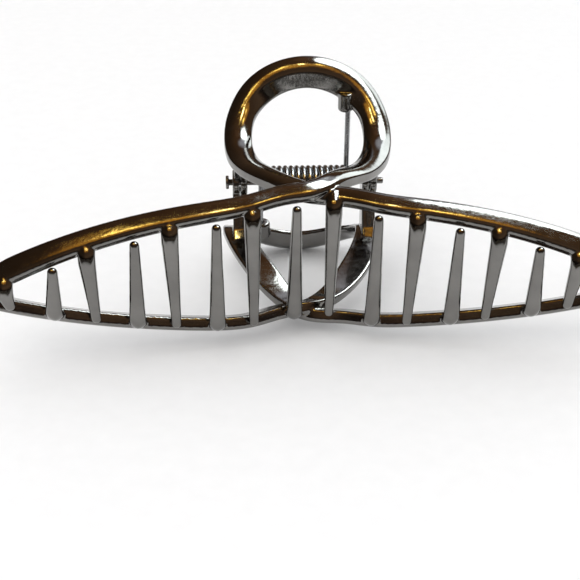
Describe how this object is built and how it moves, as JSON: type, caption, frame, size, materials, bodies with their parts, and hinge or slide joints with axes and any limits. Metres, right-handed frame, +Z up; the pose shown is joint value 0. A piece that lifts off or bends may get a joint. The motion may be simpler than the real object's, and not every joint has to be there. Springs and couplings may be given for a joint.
{
  "type": "claw hair clip",
  "caption": "Metal claw hair clip: two crossed-ribbon jaws with finger loops and interleaving teeth, held shut by a coil spring on a hinge pin.",
  "frame": {"origin": "middle of the clip's box at the surface it lies on", "axes": "+X along the clip and its hinge pin; +Y towards the finger loops, -Y towards the teeth; +Z up, from the rear jaw that it lies on to the front jaw"},
  "size_m": [0.114, 0.0488, 0.0441],
  "materials": {
    "plated_casting": "mirror-polished gunmetal plating over a zinc casting, duller on the teeth",
    "pin_steel": "bright drawn steel",
    "spring_wire": "nickel-plated spring wire"
  },
  "bodies": {
    "rear": {"rear_jaw": "plated_casting", "hinge_pin": "pin_steel", "torsion_spring": "spring_wire"},
    "front": {"front_jaw": "plated_casting"}
  },
  "joints": [
    {"name": "jaw_hinge", "type": "hinge", "parent": "rear", "child": "front", "pos_m": [0, 0.0112, 0.0206], "axis": [-1, 0, 0], "range_deg": [0, 62], "stiffness_Nm_per_rad": 0.039, "springref_deg": -91.67, "deforming": ["torsion_spring"]}
  ]
}
